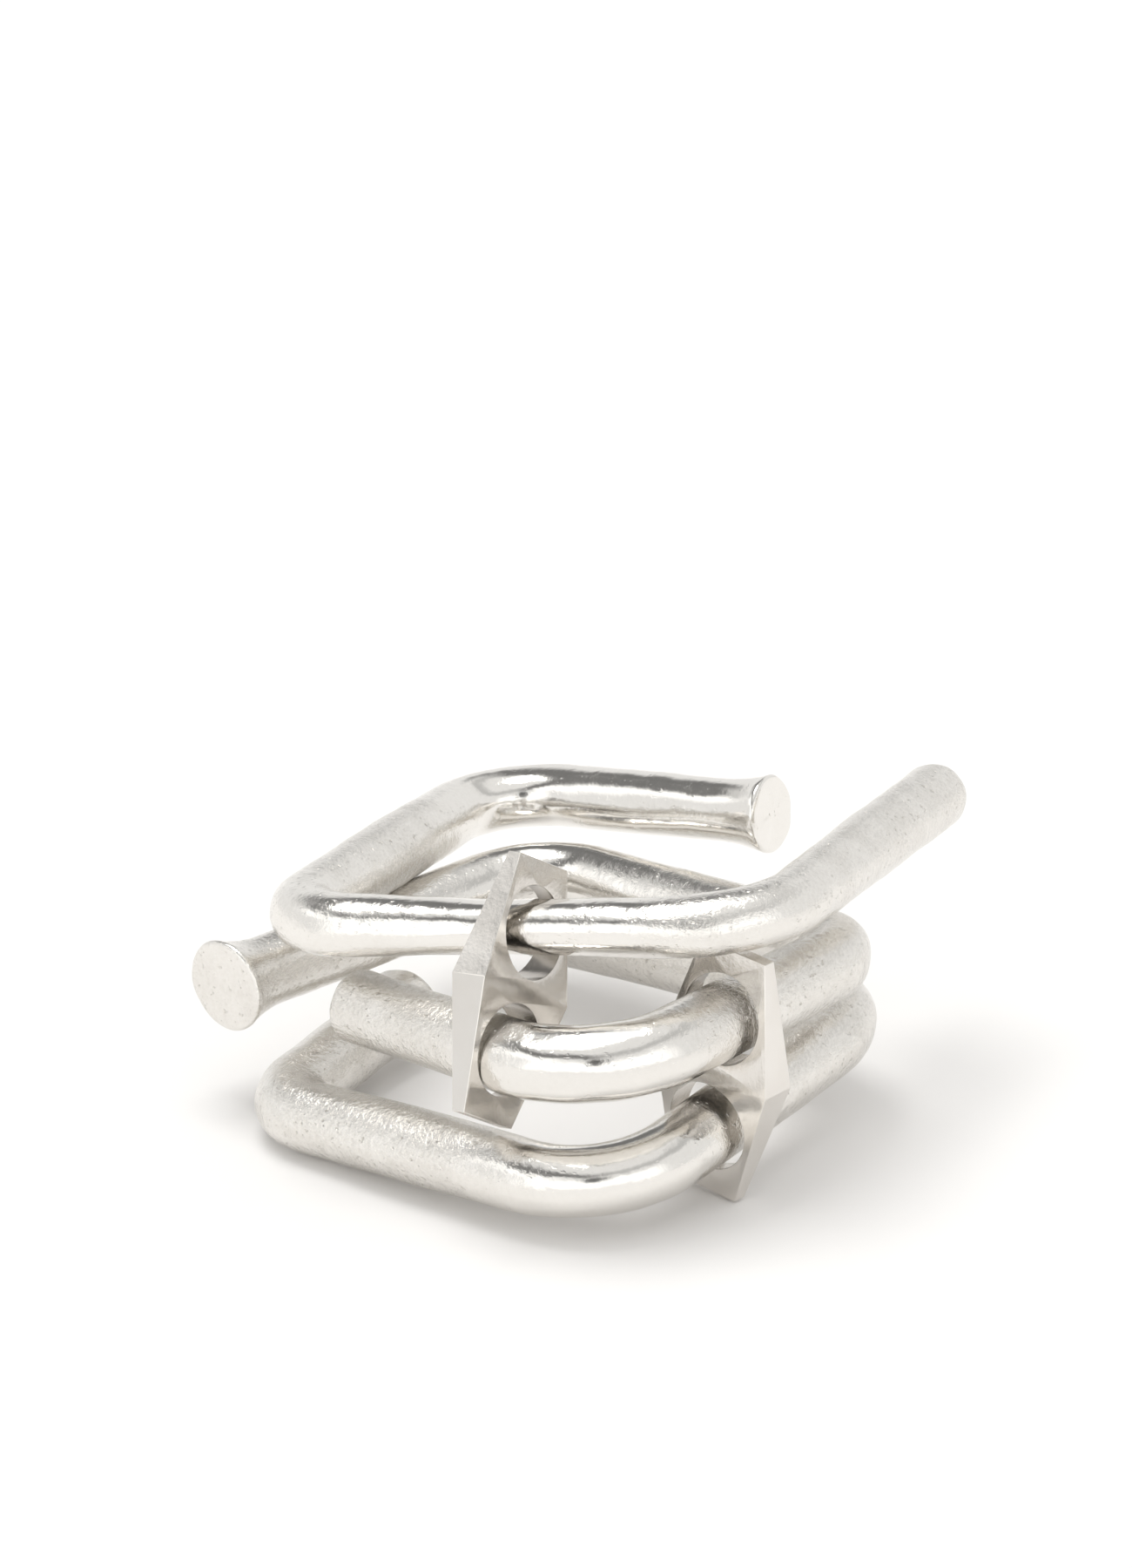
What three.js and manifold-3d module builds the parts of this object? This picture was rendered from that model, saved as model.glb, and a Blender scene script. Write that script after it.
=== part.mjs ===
// Bent-rod disentanglement puzzle at finger-ring size: three open square loops of
// round rod, stacked and chained together by two link plates with two holes each.
// Millimetres, +Z up, the part stands on z = 0 with the origin under its middle.

import * as THREE from 'three';
import { mergeVertices } from 'three/addons/utils/BufferGeometryUtils.js';
import Module from 'manifold-3d';

// ---- driving dimensions ----------------------------------------------------

// The rods. Each runs from its flared head to its plain end in four legs.
// legs: corner-to-corner lengths; angles: inside angles at the three corners;
// bends: centreline bend radii there; threaded: the leg that turns in a link plate;
// station: distance along that leg, from its left corner, to the plate's middle;
// head: diameter of the flared head's end face;
// hand: 1 where the loop runs counterclockwise from head to plain end, seen from above.
const BOTTOM_ROD = {
  diameter: 3.8,
  head: 4.45,
  legs: [12.5, 21.8, 23.4, 22.6],
  angles: [94, 91, 89],
  bends: [2.7, 5.4, 5.0],
  threaded: 2,
  station: 9.0,
  hand: 1,
};
const MIDDLE_ROD = {
  diameter: 3.9,
  head: 4.85,
  legs: [21.5, 23.2, 20.0, 18.2],
  angles: [95, 93, 85],
  bends: [4.6, 2.6, 5.8],
  threaded: 2,
  station: 10.0,
  hand: -1,
};
const TOP_ROD = {
  diameter: 3.55,
  head: 4.25,
  legs: [18.4, 25.9, 26.2, 25.4],
  angles: [80, 85, 94],
  bends: [4.4, 3.8, 6.0],
  threaded: 2,
  station: 13.8,
  hand: 1,
};

// Length over which a rod flares out to its head.
const FLARE_LENGTH = 3.0;

// The top rod is hammered flatter where it passes through its link plate.
const FLAT_HEIGHT = 2.75;
const FLAT_WIDTH = 3.3;
const FLAT_FADE = 4.5; // distance from the flat leg over which the rod turns round again

// The link plates: long six-sided outline, a lozenge in side view.
const HOLE_PLAY = 0.9; // hole diameter over the thickest rod
const HOLE_WEB = 1.3; // metal between the two holes
const RIM_AT_END = 1.3; // metal beyond each hole at the plate's ends
const RIM_AT_SIDE = 0.5; // metal beside each hole
const PLATE_END_WIDTH = 4.1;
const PLATE_MID_THICKNESS = 2.1;
const PLATE_END_THICKNESS = 0.7;

// Where the left plate sits along the middle rod's plain leg, from the front corner.
const LEFT_PLATE_STATION = 7.5;

// How each piece lies at rest: yaw about Z, then pitch, then roll about its own X, in
// degrees. A rod's own X is its threaded leg, a plate's is the axis of its holes.
const BOTTOM_ROD_LIE = [52.3, -4.6, -3.4];
const RIGHT_PLATE_LIE = [50.7, 2.8, 5.2];
const MIDDLE_ROD_LIE = [48.1, -1.1, -6.1];
const LEFT_PLATE_LIE = [-36.6, -9.8, -32.9];
const TOP_ROD_LIE = [-18.8, -7.9, -6.6];

// How far below the middle of its hole each rod's axis runs.
const ROD_DROP = 0.15;
const TOP_ROD_RISE = 0.35; // the top rod carries its plate, so it runs above the middle

// Facets
const ROD_SIDES = 18;
const ROD_STEP = 0.9;
const HOLE_SIDES = 40;

// ---- derived dimensions ----------------------------------------------------

const HOLE_DIAMETER = Math.max(BOTTOM_ROD.diameter, MIDDLE_ROD.diameter, TOP_ROD.diameter) + HOLE_PLAY;
const HOLE_SPACING = HOLE_DIAMETER + HOLE_WEB;
const PLATE_LENGTH = HOLE_SPACING + HOLE_DIAMETER + 2 * RIM_AT_END;
// The outline tapers from the middle to the ends, so the middle is as wide as leaves
// the side rim beside the holes.
const TAPER_AT_HOLE = HOLE_SPACING / PLATE_LENGTH;
const WIDTH_AT_HOLE = HOLE_DIAMETER + 2 * RIM_AT_SIDE;
const PLATE_MID_WIDTH = (WIDTH_AT_HOLE - PLATE_END_WIDTH * TAPER_AT_HOLE) / (1 - TAPER_AT_HOLE);

// ---- rods ------------------------------------------------------------------

// Corner points of a rod's centreline in its own plane: the threaded leg lies along X
// with the plate's station at the origin, and the loop's inside is towards +Y.
function rodCorners(rod) {
  const points = [new THREE.Vector2(0, 0)];
  let heading = 0;
  rod.legs.forEach((leg, i) => {
    const step = new THREE.Vector2(leg, 0).rotateAround(new THREE.Vector2(), heading);
    points.push(points[i].clone().add(step));
    heading += Math.PI - THREE.MathUtils.degToRad(rod.angles[i] ?? 180);
  });
  const from = points[rod.threaded].clone();
  const along = points[rod.threaded + 1].clone().sub(from).angle();
  const leftCorner = rod.hand > 0 ? 0 : rod.legs[rod.threaded];
  for (const p of points) {
    p.sub(from).rotateAround(new THREE.Vector2(), -along);
    p.x = rod.hand * (p.x - leftCorner) - rod.station;
  }
  return points;
}

// The centreline as straight legs joined by round bends.
function rodPath(rod) {
  const corners = rodCorners(rod);
  const path = new THREE.Path();
  path.moveTo(corners[0].x, corners[0].y);
  rod.bends.forEach((radius, i) => {
    const corner = corners[i + 1];
    const back = corners[i].clone().sub(corner).normalize();
    const on = corners[i + 2].clone().sub(corner).normalize();
    const half = Math.acos(THREE.MathUtils.clamp(back.dot(on), -1, 1)) / 2;
    const tangent = radius / Math.tan(half);
    const start = corner.clone().addScaledVector(back, tangent);
    const end = corner.clone().addScaledVector(on, tangent);
    const centre = corner.clone().addScaledVector(back.add(on).normalize(), radius / Math.sin(half));
    path.lineTo(start.x, start.y);
    path.absarc(
      centre.x,
      centre.y,
      radius,
      start.clone().sub(centre).angle(),
      end.clone().sub(centre).angle(),
      rod.hand < 0,
    );
  });
  const last = corners[corners.length - 1];
  path.lineTo(last.x, last.y);
  return path;
}

// A plane path lifted into space, for ExtrudeGeometry to follow.
class LoopCurve extends THREE.Curve {
  constructor(path) {
    super();
    this.path = path;
  }

  getPoint(t) {
    const p = this.path.getPoint(t);
    return new THREE.Vector3(p.x, p.y, 0);
  }
}

// Round section whose corners lie just outside the circle, so the facets' mean
// radius is the rod's.
function rodSection(rod) {
  const radius = rod.diameter / 2 / Math.cos(Math.PI / ROD_SIDES / 2);
  const section = new THREE.Shape();
  for (let i = 0; i < ROD_SIDES; i += 1) {
    const angle = ((i + 0.5) / ROD_SIDES) * 2 * Math.PI;
    const point = [radius * Math.cos(angle), radius * Math.sin(angle)];
    if (i === 0) {
      section.moveTo(...point);
    } else {
      section.lineTo(...point);
    }
  }
  section.closePath();
  return section;
}

// Upsets the head end: the section widens towards the end face of the first leg.
function flareHead(geometry, rod) {
  const [end, next] = rodCorners(rod).map((p) => new THREE.Vector3(p.x, p.y, 0));
  const axis = next.sub(end).normalize();
  const vertex = new THREE.Vector3();
  const position = geometry.attributes.position;
  for (let i = 0; i < position.count; i += 1) {
    vertex.fromBufferAttribute(position, i).sub(end);
    const along = vertex.dot(axis);
    const outward = vertex.clone().addScaledVector(axis, -along);
    if (along < FLARE_LENGTH && outward.length() < rod.diameter) {
      const share = (1 - Math.max(along, 0) / FLARE_LENGTH) ** 2;
      outward.multiplyScalar(THREE.MathUtils.lerp(1, rod.head / rod.diameter, share));
      vertex.copy(outward).addScaledVector(axis, along).add(end);
      position.setXYZ(i, vertex.x, vertex.y, vertex.z);
    }
  }
}

// Hammers the threaded leg, which lies along y = 0, to its flatter section.
function flattenThreadedLeg(geometry, rod) {
  const position = geometry.attributes.position;
  for (let i = 0; i < position.count; i += 1) {
    const y = position.getY(i);
    const share = 1 - THREE.MathUtils.smoothstep(y, rod.diameter / 2, rod.diameter / 2 + FLAT_FADE);
    const height = THREE.MathUtils.lerp(1, FLAT_HEIGHT / rod.diameter, share);
    const width = y < rod.diameter / 2 ? FLAT_WIDTH / rod.diameter : 1;
    position.setXYZ(i, position.getX(i), Math.abs(y) < rod.diameter / 2 ? y * width : y, position.getZ(i) * height);
  }
}

function makeRod(name, rod, material, flattened = false) {
  const curve = new LoopCurve(rodPath(rod));
  const steps = Math.round(curve.getLength() / ROD_STEP);
  const geometry = new THREE.ExtrudeGeometry(rodSection(rod), { steps, extrudePath: curve, bevelEnabled: false });
  flareHead(geometry, rod);
  if (flattened) {
    flattenThreadedLeg(geometry, rod);
  }
  return named(name, geometry, material);
}

// ---- link plates -----------------------------------------------------------

const wasm = await Module();
wasm.setup();

function toSolid(geometry) {
  const bare = geometry.clone();
  bare.deleteAttribute('normal');
  bare.deleteAttribute('uv');
  const merged = mergeVertices(bare, 1e-5);
  return new wasm.Manifold(
    new wasm.Mesh({
      numProp: 3,
      vertProperties: new Float32Array(merged.attributes.position.array),
      triVerts: new Uint32Array(merged.index.array),
    }),
  );
}

function toGeometry(solid) {
  const mesh = solid.getMesh();
  const geometry = new THREE.BufferGeometry();
  geometry.setAttribute('position', new THREE.BufferAttribute(new Float32Array(mesh.vertProperties), 3));
  geometry.setIndex(new THREE.BufferAttribute(new Uint32Array(mesh.triVerts), 1));
  geometry.computeVertexNormals();
  return geometry;
}

// A prism over a six-sided outline, narrow at both ends and wide across the middle.
function taperedPrism(endWidth, midWidth, length, depth) {
  const outline = new THREE.Shape([
    new THREE.Vector2(-endWidth / 2, -length / 2),
    new THREE.Vector2(endWidth / 2, -length / 2),
    new THREE.Vector2(midWidth / 2, 0),
    new THREE.Vector2(endWidth / 2, length / 2),
    new THREE.Vector2(-endWidth / 2, length / 2),
    new THREE.Vector2(-midWidth / 2, 0),
  ]);
  const prism = new THREE.ExtrudeGeometry(outline, { depth, bevelEnabled: false });
  return prism.translate(0, 0, -depth / 2).rotateX(Math.PI / 2);
}

// Holes run along X, the plate's width along Y and its length along Z.
function plateGeometry() {
  const face = taperedPrism(PLATE_END_WIDTH, PLATE_MID_WIDTH, PLATE_LENGTH, 2 * PLATE_MID_THICKNESS);
  face.rotateZ(Math.PI / 2);
  const side = taperedPrism(
    PLATE_END_THICKNESS,
    PLATE_MID_THICKNESS,
    PLATE_LENGTH + PLATE_END_THICKNESS,
    2 * PLATE_MID_WIDTH,
  );
  let plate = toSolid(face).intersect(toSolid(side));
  for (const level of [-1, 1]) {
    const drill = new THREE.CylinderGeometry(
      HOLE_DIAMETER / 2,
      HOLE_DIAMETER / 2,
      2 * PLATE_MID_THICKNESS,
      HOLE_SIDES,
    );
    drill.rotateZ(Math.PI / 2).translate(0, 0, (level * HOLE_SPACING) / 2);
    plate = plate.subtract(toSolid(drill));
  }
  return toGeometry(plate);
}

// ---- assembly --------------------------------------------------------------

function named(name, geometry, material) {
  const mesh = new THREE.Mesh(geometry, material);
  mesh.name = name;
  return mesh;
}

function silver(color, roughness) {
  return new THREE.MeshStandardMaterial({ color, roughness, metalness: 1 });
}

// Turns a mesh to its lie and moves it until its own anchor point is at the target.
function lay(mesh, lie, anchor, target) {
  const [yaw, pitch, roll] = lie.map(THREE.MathUtils.degToRad);
  mesh.rotation.set(roll, pitch, yaw, 'ZYX');
  mesh.position.copy(target).sub(anchor.clone().applyEuler(mesh.rotation));
  mesh.updateMatrixWorld();
}

// A point given in a mesh's own frame, as a point of the whole assembly.
function pointOn(mesh, x, y, z) {
  return mesh.localToWorld(new THREE.Vector3(x, y, z));
}

const bottomRod = makeRod('bottom_bent_rod', BOTTOM_ROD, silver(0xd9d4cc, 0.34));
const middleRod = makeRod('middle_bent_rod', MIDDLE_ROD, silver(0xdad6ce, 0.32));
const topRod = makeRod('top_bent_rod', TOP_ROD, silver(0xdedad3, 0.26), true);
const rightPlate = named('right_link_plate', plateGeometry(), silver(0xd6cfc5, 0.2));
const leftPlate = named('left_link_plate', plateGeometry(), silver(0xd6cfc5, 0.2));

const origin = new THREE.Vector3();
const lowerHole = -HOLE_SPACING / 2;
const upperHole = HOLE_SPACING / 2;

lay(bottomRod, BOTTOM_ROD_LIE, origin, origin);
lay(rightPlate, RIGHT_PLATE_LIE, new THREE.Vector3(0, 0, lowerHole - ROD_DROP), pointOn(bottomRod, 0, 0, 0));
lay(middleRod, MIDDLE_ROD_LIE, origin, pointOn(rightPlate, 0, 0, upperHole - ROD_DROP));

// The left plate rides on the middle rod's last leg, the one with the plain end.
const [frontCorner, plainEnd] = rodCorners(MIDDLE_ROD).slice(-2);
const leftStation = plainEnd.clone().sub(frontCorner).setLength(LEFT_PLATE_STATION).add(frontCorner);
lay(
  leftPlate,
  LEFT_PLATE_LIE,
  new THREE.Vector3(0, 0, lowerHole - ROD_DROP),
  pointOn(middleRod, leftStation.x, leftStation.y, 0),
);
lay(topRod, TOP_ROD_LIE, origin, pointOn(leftPlate, 0, 0, upperHole + TOP_ROD_RISE));

const puzzle = new THREE.Group();
puzzle.add(bottomRod, rightPlate, middleRod, leftPlate, topRod);

// Stand the assembly on z = 0 with the origin under the middle of its box.
const box = new THREE.Box3().setFromObject(puzzle, true);
const middle = box.getCenter(new THREE.Vector3());
puzzle.position.set(-middle.x, -middle.y, -box.min.z);
puzzle.updateMatrixWorld(true);

export default puzzle;
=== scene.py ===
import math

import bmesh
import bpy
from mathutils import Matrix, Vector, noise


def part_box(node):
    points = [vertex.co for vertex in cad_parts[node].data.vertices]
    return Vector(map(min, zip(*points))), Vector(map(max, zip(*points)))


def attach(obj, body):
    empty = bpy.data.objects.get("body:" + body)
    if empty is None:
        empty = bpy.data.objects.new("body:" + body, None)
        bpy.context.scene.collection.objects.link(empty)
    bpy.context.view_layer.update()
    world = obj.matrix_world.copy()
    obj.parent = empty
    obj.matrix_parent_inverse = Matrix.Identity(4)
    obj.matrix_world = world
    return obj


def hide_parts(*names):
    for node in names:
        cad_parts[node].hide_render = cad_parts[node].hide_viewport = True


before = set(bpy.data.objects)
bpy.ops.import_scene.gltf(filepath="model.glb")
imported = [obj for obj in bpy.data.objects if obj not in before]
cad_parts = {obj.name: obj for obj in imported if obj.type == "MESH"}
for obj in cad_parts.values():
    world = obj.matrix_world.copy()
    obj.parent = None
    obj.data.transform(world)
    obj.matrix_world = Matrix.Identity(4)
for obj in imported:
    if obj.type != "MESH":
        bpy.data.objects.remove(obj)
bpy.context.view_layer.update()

# The finished look of the bent-rod puzzle: three forged silver rods and two filed link
# plates, each built here over its plain solid, with the studio round them. Lengths named
# in millimetres become metres through MM where they meet the scene. The studio's own
# places and sizes are in metres.

MM = 0.001

# ---- the rods' own sizes, in millimetres and degrees -------------------------------

# legs, angles, bends: the loop as bent, from flared head to plain end: lengths between
# corners, inside angles and centreline radii. hand: 1 as drawn, -1 mirrored.
# lie: yaw, pitch and roll of the loop, of which the roll is turned first.
# head: diameter of the head's face. spread: how many times that the hammered head has
# grown to. cut: how many degrees its face stands off square.
# girth: width and height of the section against the diameter, at the middle of each leg
# and bend in turn. worn: how polished each of those stretches is.
# end_round: rounding of the plain end. seed: picks this rod's own dents.
RODS = {
    "bottom_bent_rod": {
        "diameter": 3.8,
        "head": 4.45,
        "spread": 1.0,
        "cut": 0,
        "legs": (12.5, 21.8, 23.4, 22.6),
        "angles": (94, 91, 89),
        "bends": (2.7, 5.4, 5.0),
        "hand": 1,
        "lie": (52.3, -4.6, -3.4),
        "girth": (
            (1.0, 1.0),
            (1.02, 0.97),
            (1.03, 1.02),
            (1.0, 0.98),
            (0.97, 1.0),
            (1.0, 0.97),
            (1.0, 1.0),
        ),
        "worn": (0.2, 0.35, 0.15, 1.0, 0.45, 0.4, 0.2),
        "end_round": 0.35,
        "seed": 3,
    },
    "middle_bent_rod": {
        "diameter": 3.9,
        "head": 4.85,
        "spread": 1.06,
        "cut": 10,
        "legs": (21.5, 23.2, 20.0, 18.2),
        "angles": (95, 93, 85),
        "bends": (4.6, 2.6, 5.8),
        "hand": -1,
        "lie": (48.1, -1.1, -6.1),
        "girth": (
            (0.97, 0.97),
            (1.0, 0.95),
            (0.97, 0.96),
            (1.0, 0.97),
            (1.01, 1.01),
            (1.05, 1.02),
            (1.0, 0.99),
        ),
        "worn": (0.5, 0.9, 0.7, 0.3, 0.3, 1.0, 0.1),
        "end_round": 0.3,
        "seed": 11,
    },
    "top_bent_rod": {
        "diameter": 3.55,
        "head": 4.25,
        "spread": 1.03,
        "cut": 4,
        "legs": (18.4, 25.9, 26.2, 25.4),
        "angles": (80, 85, 94),
        "bends": (4.4, 3.8, 6.0),
        "hand": 1,
        "lie": (-18.8, -7.9, -6.6),
        "girth": (
            (0.98, 0.97),
            (1.0, 0.95),
            (1.05, 1.03),
            (1.03, 0.95),
            (0.93, 0.775),
            (1.0, 0.9),
            (1.02, 1.0),
        ),
        "worn": (0.9, 0.9, 0.2, 0.6, 0.9, 0.5, 0.1),
        "end_round": 0.7,
        "seed": 23,
    },
}
THREADED_LEG = 2  # the third leg of every loop hangs in a plate, and lies along X as bent
FLARE_LENGTH = 3.0
HEAD_EDGE = 0.2  # rounding of a head's rim
RING_SIDES = 72
RING_STEP = 0.26  # between rings along a rod
FEWEST_BEND_RINGS = 4
ROD_MERGE = 0.001  # points nearer than this are one
ROUNDING_STEPS = 4
FACE_RINGS = (0.82, 0.6, 0.36, 0.14)  # rings across an end face, as shares of its radius

# The hammering: how long each kind of unevenness is, and how deep.
FLAT_LENGTH, FLAT_WRAP, FLAT_DEPTH = 6.5, 1.5, 0.075
DENT_SIZE, DENT_DEPTH = 1.9, 0.035
DIMPLE_SIZE, DIMPLE_DEPTH = 0.75, 0.010
HEAD_LENGTH, HEAD_DENTS = 0.6, 2.2  # the struck head's dents are this many times deeper
SEED_DRIFT = (17.3, 5.1, 2.7)  # how far one seed moves the noise along each axis


# ---- shader maths -------------------------------------------------------------------


class Value:
    """A socket or a number, with arithmetic that adds Math nodes."""

    def __init__(self, graph, source):
        self.graph = graph
        self.source = source

    def maths(self, operation, other):
        return self.graph.node("ShaderNodeMath", {"operation": operation}, {0: self, 1: other})

    def __add__(self, other):
        return self.maths("ADD", other)

    def __radd__(self, other):
        return self.maths("ADD", other)

    def __sub__(self, other):
        return self.maths("SUBTRACT", other)

    def __rsub__(self, other):
        return Value(self.graph, other).maths("SUBTRACT", self)

    def __mul__(self, other):
        return self.maths("MULTIPLY", other)

    def __rmul__(self, other):
        return self.maths("MULTIPLY", other)


# A colour Mix node's sockets share their names with other types', so they go by number.
MIX_FIRST, MIX_SECOND, MIX_RESULT = 6, 7, 2


class Graph:
    """A node tree, and the few kinds of node that the finishes are made of."""

    def __init__(self, tree):
        self.tree = tree

    def feed(self, socket, value):
        if isinstance(value, Value):
            value = value.source
        if isinstance(value, bpy.types.NodeSocket):
            self.tree.links.new(value, socket)
        else:
            socket.default_value = value

    def node(self, kind, settings=None, inputs=None, output=0):
        made = self.tree.nodes.new(kind)
        for name, setting in (settings or {}).items():
            if name == "stops":
                ramp = made.color_ramp
                while len(ramp.elements) < len(setting):
                    ramp.elements.new(1.0)
                for element, (position, shade) in zip(ramp.elements, setting):
                    element.position = position
                    element.color = (shade, shade, shade, 1.0)
            else:
                setattr(made, name, setting)
        for key, value in (inputs or {}).items():
            self.feed(made.inputs[key], value)
        return Value(self, made.outputs[output])

    def place(self, stretch=(1.0, 1.0, 1.0)):
        coordinates = self.node("ShaderNodeTexCoord", output="Object")
        return self.node("ShaderNodeMapping", {}, {"Vector": coordinates, "Scale": stretch})

    def noise(self, size_mm, detail=2.0, roughness=0.5, at=None):
        """Noise from 0 to 1 whose features are about size_mm across."""
        at = self.place() if at is None else at
        scale = 1.0 / (size_mm * MM)
        sockets = {"Vector": at, "Scale": scale, "Detail": detail, "Roughness": roughness}
        return self.node("ShaderNodeTexNoise", {}, sockets)

    def ramp(self, value, *stops):
        """A grey ramp; each stop is a place on it and how bright it is there."""
        return self.node("ShaderNodeValToRGB", {"stops": stops}, {"Fac": value})

    def attribute(self, name):
        return self.node("ShaderNodeAttribute", {"attribute_name": name}, output="Fac")

    def mix(self, share, first, second):
        sockets = {"Factor": share, MIX_FIRST: first, MIX_SECOND: second}
        return self.node("ShaderNodeMix", {"data_type": "RGBA"}, sockets, output=MIX_RESULT)

    def bump(self, height, depth_mm, under=None):
        """Bump whose height of 0 to 1 stands for depth_mm."""
        sockets = {"Height": height, "Distance": depth_mm * MM, "Strength": 1.0}
        if under is not None:
            sockets["Normal"] = under
        return self.node("ShaderNodeBump", {}, sockets)


class Finish(Graph):
    """A material's graph, ending in its principled shader."""

    def __init__(self, name):
        self.material = bpy.data.materials.new(name)
        self.material.use_nodes = True
        super().__init__(self.material.node_tree)
        self.tree.nodes.clear()
        self.shader = self.tree.nodes.new("ShaderNodeBsdfPrincipled")
        output = self.tree.nodes.new("ShaderNodeOutputMaterial")
        self.tree.links.new(self.shader.outputs["BSDF"], output.inputs["Surface"])

    def done(self, sockets):
        for name, value in sockets.items():
            self.feed(self.shader.inputs[name], value)
        return self.material


def rod_silver(name, bright, dull, grain_mm, grain_depth_mm):
    """Cast and tumbled silver: grainy on the legs, polished where the rod is worn."""
    g = Finish(name)
    worn = g.attribute("worn")
    patches = g.noise(2.6, 3.0, 0.6)
    polish = g.ramp(worn + (patches - 0.5) * 0.9, (0.15, 0.0), (0.85, 1.0))
    grain = g.noise(grain_mm, 4.0, 0.62)
    coarse = g.noise(0.85, 3.0, 0.55)
    pits = g.ramp(g.noise(0.34, 2.0, 0.5, g.place((1.0, 1.0, 1.3))), (0.27, 1.0), (0.36, 0.0))
    matt = 1.0 - polish
    dirt = pits * matt * 0.55
    mottle = g.ramp(grain, (0.36, 1.0), (0.60, 0.0)) * (0.06 + matt * 0.15)
    cloud = (1.0 - g.ramp(patches, (0.3, 0.0), (0.7, 1.0))) * matt * 0.20
    colour = g.mix(dirt + mottle + cloud, bright, dull)
    rough = 0.13 + matt * 0.075 + (coarse - 0.5) * 0.12
    swell = g.bump(coarse * (0.35 + matt), 0.045)
    texture = g.bump(grain * (0.06 + matt), grain_depth_mm, swell)
    pitted = g.bump(1.0 - pits * (0.15 + matt * 0.85), 0.035, texture)
    return g.done({"Base Color": colour, "Roughness": rough, "Metallic": 1.0, "Normal": pitted})


def plate_silver(name, bright, dull):
    """Filed and buffed facets, with faint strokes and a fine tooth."""
    g = Finish(name)
    cloud = g.noise(3.0, 2.0, 0.5)
    strokes = g.noise(0.5, 3.0, 0.6, g.place((1.0, 1.0, 0.12)))
    speck = g.noise(0.22, 3.0, 0.55)
    colour = g.mix(g.ramp(cloud, (0.3, 0.0), (0.75, 0.6)), bright, dull)
    rough = 0.13 + cloud * 0.10 + (speck - 0.5) * 0.06
    swell = g.bump(cloud, 0.05)
    filed = g.bump(strokes, 0.006, swell)
    grain = g.bump(speck, 0.005, filed)
    return g.done({"Base Color": colour, "Roughness": rough, "Metallic": 1.0, "Normal": grain})


# ---- rods -----------------------------------------------------------------------------


def rod_corners(rod):
    """Corners of the centreline from head to plain end, the threaded leg along X."""
    points = [Vector((0, 0, 0))]
    heading = 0.0
    for leg, angle in zip(rod["legs"], (*rod["angles"], 180)):
        points.append(points[-1] + Matrix.Rotation(heading, 3, "Z") @ Vector((leg, 0, 0)))
        heading += math.pi - math.radians(angle)
    start = points[THREADED_LEG]
    along = points[THREADED_LEG + 1] - start
    turn = Matrix.Rotation(-math.atan2(along.y, along.x), 3, "Z")
    mirror = Matrix.Diagonal((rod["hand"], 1, 1))
    return [mirror @ turn @ (point - start) for point in points]


def rotation_of(lie):
    yaw, pitch, roll = (math.radians(angle) for angle in lie)
    turn = Matrix.Rotation(yaw, 3, "Z") @ Matrix.Rotation(pitch, 3, "Y")
    return turn @ Matrix.Rotation(roll, 3, "X")


class Tube:
    """A rod growing ring by ring, each ring remembered with where it lies."""

    def __init__(self, rod):
        self.rod = rod
        self.mesh = bmesh.new()
        self.worn = self.mesh.verts.layers.float.new("worn")
        self.rings = []
        self.length = 0.0

    def begin(self, centre, heading):
        turned = heading.to_track_quat("Z", "Y").to_matrix().to_4x4()
        place = Matrix.Translation(centre) @ turned
        radius = self.rod["diameter"] / 2
        bmesh.ops.create_circle(self.mesh, segments=RING_SIDES, radius=radius, matrix=place)
        self.keep(self.mesh.verts, list(self.mesh.edges), centre, heading)

    def keep(self, verts, edges, centre, heading):
        ring = {
            "verts": list(verts),
            "edges": edges,
            "centre": centre.copy(),
            "heading": heading.copy(),
            "along": self.length,
        }
        self.rings.append(ring)

    def grow(self, ring):
        """Extrudes a ring's edge once and gives back the new ring's vertices and edges."""
        made = bmesh.ops.extrude_edge_only(self.mesh, edges=ring["edges"])["geom"]
        verts = [item for item in made if isinstance(item, bmesh.types.BMVert)]
        fresh = set(verts)
        grown = [item for item in made if isinstance(item, bmesh.types.BMEdge)]
        return verts, [edge for edge in grown if set(edge.verts) <= fresh]

    def straight(self, length):
        steps = max(1, round(length / RING_STEP))
        for _ in range(steps):
            last = self.rings[-1]
            verts, edges = self.grow(last)
            move = last["heading"] * (length / steps)
            bmesh.ops.translate(self.mesh, vec=move, verts=verts)
            self.length += length / steps
            self.keep(verts, edges, last["centre"] + move, last["heading"])

    def bend(self, radius, angle, hand):
        steps = max(FEWEST_BEND_RINGS, round(radius * angle / RING_STEP))
        last = self.rings[-1]
        pivot = last["centre"] + Vector((0, 0, hand)).cross(last["heading"]) * radius
        turn = Matrix.Rotation(hand * angle / steps, 3, "Z")
        for _ in range(steps):
            last = self.rings[-1]
            verts, edges = self.grow(last)
            bmesh.ops.rotate(self.mesh, cent=pivot, matrix=turn, verts=verts)
            self.length += radius * angle / steps
            centre = pivot + turn @ (last["centre"] - pivot)
            self.keep(verts, edges, centre, turn @ last["heading"])


def rod_tube(rod):
    """The even tube from head to plain end, and how far along each leg's and bend's middle is."""
    tube = Tube(rod)
    corners = rod_corners(rod)
    heading = (corners[1] - corners[0]).normalized()
    tube.begin(corners[0] + heading * HEAD_EDGE, heading)
    marks = []
    spent = HEAD_EDGE
    for i, leg in enumerate(rod["legs"]):
        last_leg = i == len(rod["legs"]) - 1
        half = 0.0 if last_leg else math.radians(rod["angles"][i]) / 2
        tangent = rod["end_round"] if last_leg else rod["bends"][i] / math.tan(half)
        before = tube.length
        tube.straight(leg - spent - tangent)
        marks.append((before + tube.length) / 2)
        if not last_leg:
            before = tube.length
            tube.bend(rod["bends"][i], math.pi - 2 * half, rod["hand"])
            marks.append((before + tube.length) / 2)
        spent = tangent
    return tube, marks


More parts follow.
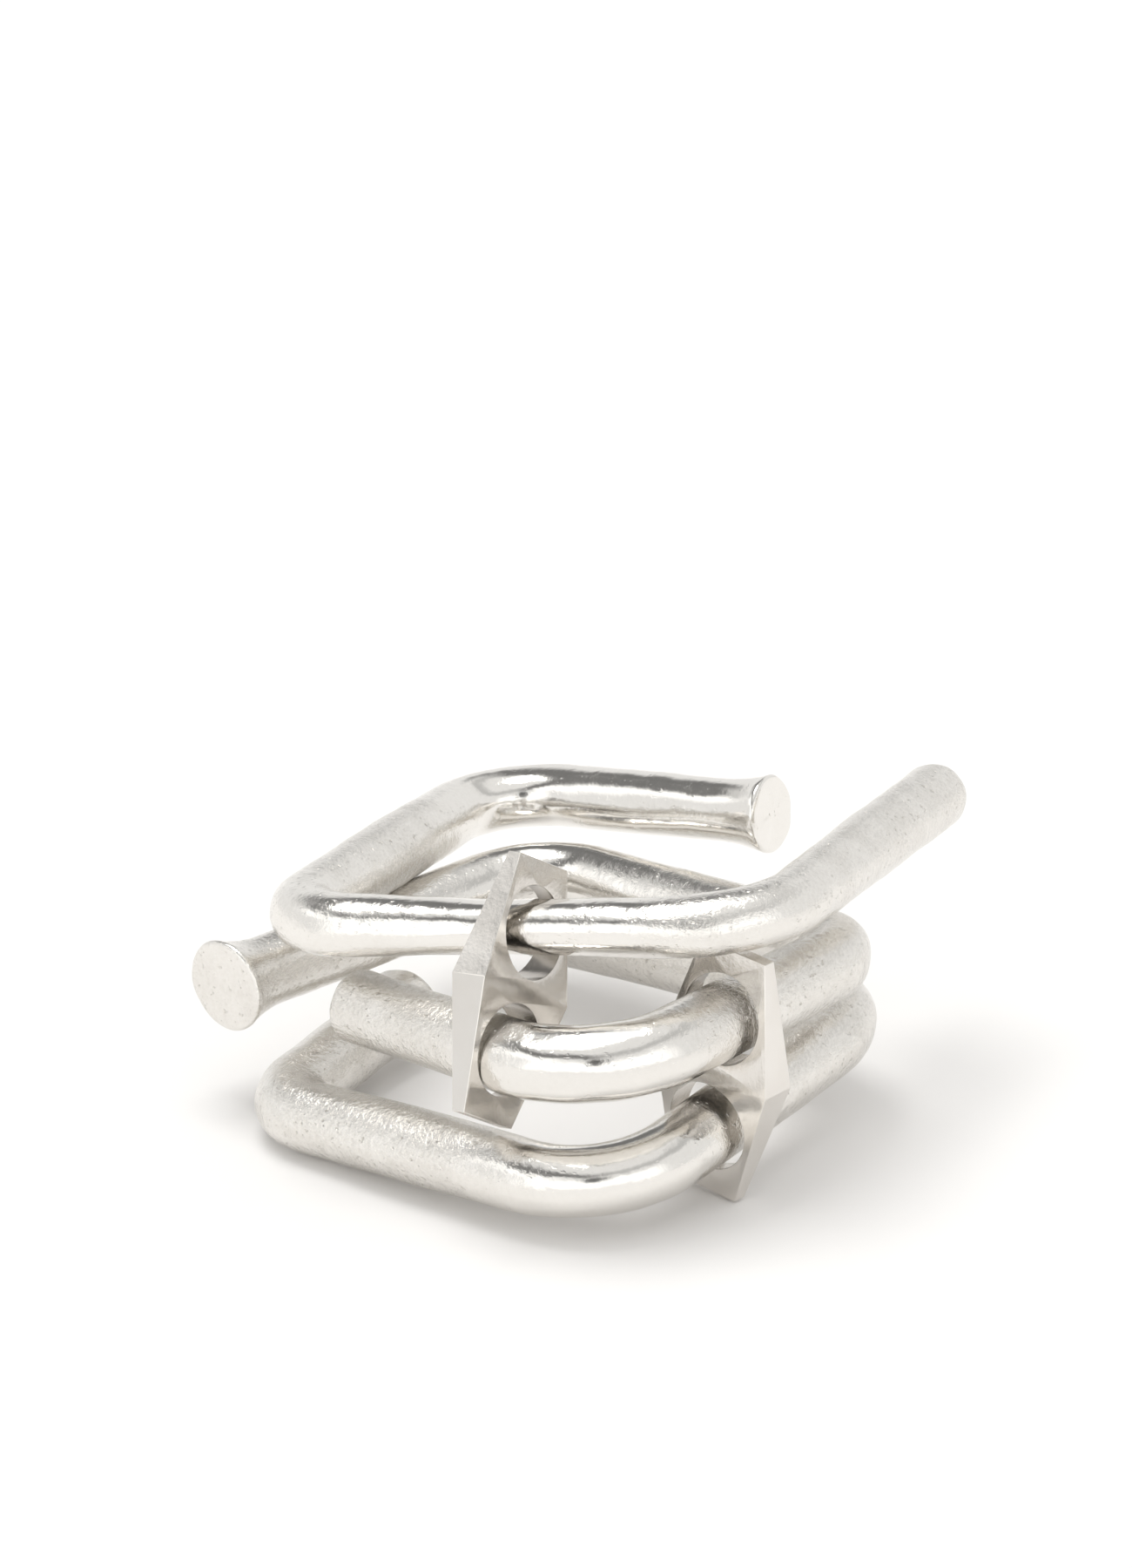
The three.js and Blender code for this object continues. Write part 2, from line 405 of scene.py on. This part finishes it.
def blended(marks, values, along):
    """The value at a path length, eased between the marks on either side."""
    if along <= marks[0]:
        return values[0]
    for (a, b), (low, high) in zip(zip(marks, marks[1:]), zip(values, values[1:])):
        if along <= b:
            share = (along - a) / (b - a)
            eased = share * share * (3 - 2 * share)
            return low + (high - low) * eased
    return values[-1]


def forge(tube, marks):
    """Gives each ring its own width and height, and flares the head."""
    rod = tube.rod
    head = rod["head"] * rod["spread"] / rod["diameter"]
    for ring in tube.rings:
        width = blended(marks, [pair[0] for pair in rod["girth"]], ring["along"])
        height = blended(marks, [pair[1] for pair in rod["girth"]], ring["along"])
        flare = max(0.0, 1 - (ring["along"] + HEAD_EDGE) / FLARE_LENGTH) ** 2
        width += (head - width) * flare
        height += (head - height) * flare
        side = ring["heading"].cross(Vector((0, 0, 1)))
        turn = Matrix.Rotation(math.radians(rod["cut"]) * flare, 3, "Z")
        for vert in ring["verts"]:
            offset = vert.co - ring["centre"]
            forged = side * (offset.dot(side) * width) + Vector((0, 0, offset.z * height))
            vert.co = ring["centre"] + turn @ forged


def close_end(tube, ring, outward, edge):
    """Rounds a rod's end over and fills its face with rings."""
    reaches = [(vert.co - ring["centre"]).length for vert in ring["verts"]]
    radius = sum(reaches) / len(reaches)
    profile = []
    for step in range(1, ROUNDING_STEPS + 1):
        angle = math.pi / 2 * step / ROUNDING_STEPS
        profile.append((radius - edge * (1 - math.cos(angle)), edge * math.sin(angle)))
    flat = profile[-1][0]
    profile += [(flat * share, edge) for share in FACE_RINGS]
    size, out = radius, 0.0
    for new_size, new_out in profile:
        verts, edges = tube.grow(ring)
        move = outward * (new_out - out)
        bmesh.ops.translate(tube.mesh, vec=move, verts=verts)
        about = Matrix.Translation(-(ring["centre"] + move))
        shrink = new_size / size
        bmesh.ops.scale(tube.mesh, vec=(shrink, shrink, shrink), space=about, verts=verts)
        ring = {**ring, "verts": verts, "edges": edges, "centre": ring["centre"] + move}
        tube.rings.append(ring)
        size, out = new_size, new_out
    bmesh.ops.edgeloop_fill(tube.mesh, edges=ring["edges"])


def hammer(tube, marks):
    """Soft dents and long flats, so that no stretch of a rod is quite even."""
    rod = tube.rod
    tube.mesh.normal_update()
    drift = Vector([rod["seed"] * step for step in SEED_DRIFT])
    moves = []
    for ring in tube.rings:
        worn = blended(marks, rod["worn"], ring["along"])
        for vert in ring["verts"]:
            around = (vert.co - ring["centre"]).normalized()
            side = around.dot(ring["heading"].cross(Vector((0, 0, 1))))
            wrap = (ring["along"] / FLAT_LENGTH, side * FLAT_WRAP, around.z * FLAT_WRAP)
            flats = noise.noise(Vector(wrap) + drift)
            dents = noise.noise(vert.co / DENT_SIZE + drift)
            dimples = noise.noise(vert.co / DIMPLE_SIZE + drift)
            if ring["along"] < HEAD_LENGTH:
                dents *= HEAD_DENTS
            depth = FLAT_DEPTH * flats + DENT_DEPTH * dents + DIMPLE_DEPTH * dimples
            moves.append((vert, vert.normal * depth))
            vert[tube.worn] = worn
    for vert, move in moves:
        vert.co += move


def middle_of(points):
    """The middle of the box round some points."""
    lows = [min(point[i] for point in points) for i in range(3)]
    highs = [max(point[i] for point in points) for i in range(3)]
    return Vector([(low + high) / 2 for low, high in zip(lows, highs)])


def piece_from(mesh, name, materials, body, node):
    """The finished piece that rides a body in place of its plain solid."""
    bmesh.ops.recalc_face_normals(mesh, faces=mesh.faces)
    data = bpy.data.meshes.new(name)
    mesh.to_mesh(data)
    mesh.free()
    for material in materials:
        data.materials.append(material)
    for polygon in data.polygons:
        polygon.use_smooth = True
    piece = bpy.data.objects.new(name, data)
    bpy.context.scene.collection.objects.link(piece)
    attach(piece, body)
    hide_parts(node)
    return piece


def build_rod(node, name, body, material):
    """One forged rod, set where its plain solid lies."""
    rod = RODS[node]
    tube, marks = rod_tube(rod)
    head, plain = tube.rings[0], tube.rings[-1]
    turn = rotation_of(rod["lie"])
    # The even tube with its head flared fills the same box as the solid, which gives the place.
    flare = rod["head"] / rod["diameter"]
    outline = [turn @ vert.co for ring in tube.rings for vert in ring["verts"]]
    for vert in head["verts"]:
        outline.append(turn @ (head["centre"] + (vert.co - head["centre"]) * flare))
    low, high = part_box(node)
    place = (Vector(low) + Vector(high)) / 2 - middle_of(outline) * MM
    forge(tube, marks)
    outward = Matrix.Rotation(math.radians(rod["cut"]), 3, "Z") @ -head["heading"]
    close_end(tube, head, outward, HEAD_EDGE)
    close_end(tube, plain, plain["heading"], rod["end_round"])
    hammer(tube, marks)
    whole = Matrix.Translation(place) @ Matrix.Scale(MM, 4) @ turn.to_4x4()
    bmesh.ops.transform(tube.mesh, matrix=whole, verts=tube.mesh.verts)
    bmesh.ops.remove_doubles(tube.mesh, verts=tube.mesh.verts, dist=ROD_MERGE * MM)
    return piece_from(tube.mesh, name, [material], body, node)


# ---- link plates ------------------------------------------------------------------------

PLATE_EDGE = 0.10  # width of the worn rounding along a plate's edges
PLATE_EDGE_STEPS = 3
PLATE_MERGE = 0.002  # points of the copied solid nearer than this are one
FLAT_WITHIN = math.radians(2)  # triangles that meet flatter than this are one facet
CRISP_FROM = math.radians(14)  # facets that meet sharper than this have a worn edge
BORE_STRIP = 1.3  # square millimetres: a bore's wall is four-sided strips smaller than this
FACET_WEIGHT = 80  # how far a big facet outweighs its rounded edges in the shading


def build_plate(node, name, body, materials):
    """A merged copy of the plain plate, worn along its edges; its bores take materials[1], a
    darker silver that paints the shade inside them.
    """
    mesh = bmesh.new()
    mesh.from_mesh(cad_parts[node].data)
    bmesh.ops.remove_doubles(mesh, verts=mesh.verts, dist=PLATE_MERGE * MM)
    bmesh.ops.dissolve_limit(mesh, angle_limit=FLAT_WITHIN, verts=mesh.verts, edges=mesh.edges)
    for face in mesh.faces:
        if len(face.verts) == 4 and face.calc_area() < BORE_STRIP * MM * MM:
            face.material_index = 1
    closed = [edge for edge in mesh.edges if edge.is_manifold]
    crisp = [edge for edge in closed if edge.calc_face_angle() > CRISP_FROM]
    bmesh.ops.bevel(
        mesh,
        geom=crisp,
        offset=PLATE_EDGE * MM,
        offset_type="OFFSET",
        segments=PLATE_EDGE_STEPS,
        profile=0.5,
        affect="EDGES",
        material=-1,
        clamp_overlap=True,
    )
    bmesh.ops.triangulate(mesh, faces=[face for face in mesh.faces if len(face.verts) > 4])
    piece = piece_from(mesh, name, materials, body, node)
    flat_facets = piece.modifiers.new("flat_facets", "WEIGHTED_NORMAL")
    flat_facets.weight = FACET_WEIGHT
    flat_facets.mode = "FACE_AREA"
    return piece


# ---- studio ------------------------------------------------------------------------------

CAMERA_PLACE = Vector((-0.0003, -0.3181, 0.1562))
CAMERA_AIM = Vector((-0.0010, 0.0, 0.0180))
CAMERA_LENS = 154.0
CAMERA_NEAREST = 0.01
WHITE = (1.0, 0.995, 0.985)  # of the walls and the lamp
WALL_LEVEL = 0.90
PANEL_GAIN = 0.50
GAP_DEPTH = 0.70
CAMERA_DARK_BACK, CAMERA_DARK_UP = 0.87, 0.49  # where the camera's dark shape stands
LAMP_PLACE = Vector((-0.11, 0.10, 0.60))
LAMP_SIZE = 0.34
LAMP_RADIANCE = 4.2
FLOOR_HALF = 1.5


def studio_walls():
    """Pale walls and ceiling, a brighter panel low in front and one on the left, a dark gap
    above the walls on the left and behind, and the dark shape of the camera and its stand.
    Each ramp runs over a part of the direction looked in: side, depth or height."""
    world = bpy.data.worlds.new("studio")
    bpy.context.scene.world = world
    world.use_nodes = True
    g = Graph(world.node_tree)
    split = {"Vector": g.node("ShaderNodeTexCoord", output="Generated")}
    side = g.node("ShaderNodeSeparateXYZ", {}, split, output="X")
    depth = g.node("ShaderNodeSeparateXYZ", {}, split, output="Y")
    height = g.node("ShaderNodeSeparateXYZ", {}, split, output="Z")
    front = g.ramp(-1.0 * depth, (0.35, 0.0), (0.60, 1.0))
    front_panel = front * g.ramp(height, (0.42, 1.0), (0.55, 0.0))
    left = g.ramp(-1.0 * side, (0.35, 0.0), (0.60, 1.0))
    left_panel = left * g.ramp(height, (0.32, 0.0), (0.48, 1.0), (0.60, 1.0), (0.66, 0.0))
    panel = front_panel.maths("MAXIMUM", left_panel)
    gap = g.ramp(height, (0.62, 0.0), (0.69, 1.0), (0.77, 1.0), (0.85, 0.0))
    leftward = 0.5 - side * 0.5
    left_gap = gap * g.ramp(leftward, (0.42, 0.45), (0.62, 1.0))
    behind = g.ramp(depth, (0.12, 0.0), (0.32, 1.0)) * g.ramp(leftward, (0.38, 0.0), (0.5, 1.0))
    back_gap = behind * g.ramp(height, (0.36, 0.0), (0.48, 1.0), (0.77, 1.0), (0.87, 0.0))
    dark = left_gap.maths("MAXIMUM", back_gap)
    level = WALL_LEVEL + panel * PANEL_GAIN - dark * GAP_DEPTH
    toward_camera = height * CAMERA_DARK_UP - depth * CAMERA_DARK_BACK
    level = level * (1.0 - g.ramp(toward_camera, (0.975, 0.0), (0.99, 0.85)))
    background = world.node_tree.nodes["Background"]
    background.inputs["Color"].default_value = (*WHITE, 1)
    g.feed(background.inputs["Strength"], level)


def studio_floor():
    mesh = bmesh.new()
    bmesh.ops.create_grid(mesh, x_segments=1, y_segments=1, size=FLOOR_HALF)
    data = bpy.data.meshes.new("floor")
    mesh.to_mesh(data)
    mesh.free()
    paper = Finish("paper")
    data.materials.append(paper.done({"Base Color": (0.95, 0.94, 0.93, 1), "Roughness": 0.9}))
    floor = bpy.data.objects.new("floor", data)
    bpy.context.scene.collection.objects.link(floor)


def stand(name, data, place, aim):
    """A lamp or camera standing at a place, turned toward its aim."""
    stood = bpy.data.objects.new(name, data)
    stood.location = place
    stood.rotation_mode = "QUATERNION"
    stood.rotation_quaternion = (aim - place).to_track_quat("-Z", "Y")
    bpy.context.scene.collection.objects.link(stood)
    return stood


def studio():
    scene = bpy.context.scene
    scene.view_settings.view_transform = "Standard"
    studio_walls()
    studio_floor()

    lamp = bpy.data.lights.new("overhead", "AREA")
    lamp.shape = "SQUARE"
    lamp.size = LAMP_SIZE
    lamp.energy = LAMP_RADIANCE * math.pi * LAMP_SIZE * LAMP_SIZE
    lamp.color = WHITE
    stand("overhead", lamp, LAMP_PLACE, Vector((0, 0, 0)))

    camera = bpy.data.cameras.new("camera")
    camera.lens = CAMERA_LENS
    camera.clip_start = CAMERA_NEAREST
    scene.camera = stand("camera", camera, CAMERA_PLACE, CAMERA_AIM)


studio()
cast = rod_silver("cast_silver", (0.84, 0.82, 0.785, 1), (0.54, 0.505, 0.45, 1), 0.25, 0.09)
bright = rod_silver("polished_silver", (0.86, 0.84, 0.805, 1), (0.62, 0.585, 0.53, 1), 0.22, 0.06)
buffed = plate_silver("plate_silver", (0.82, 0.795, 0.76, 1), (0.72, 0.685, 0.64, 1))
# The bores take a darker silver: painted shade, the dark that falls inside the holes, not a
# colour of the metal.
bore_shade_finish = plate_silver("bore_silver_painted_shade", (0.60, 0.57, 0.53, 1), (0.42, 0.39, 0.355, 1))
build_rod("bottom_bent_rod", "forged_bottom_rod", "bottom_rod", cast)
build_rod("middle_bent_rod", "forged_middle_rod", "middle_rod", cast)
build_rod("top_bent_rod", "forged_top_rod", "top_rod", bright)
build_plate("right_link_plate", "filed_right_plate", "right_plate", [buffed, bore_shade_finish])
build_plate("left_link_plate", "filed_left_plate", "left_plate", [buffed, bore_shade_finish])
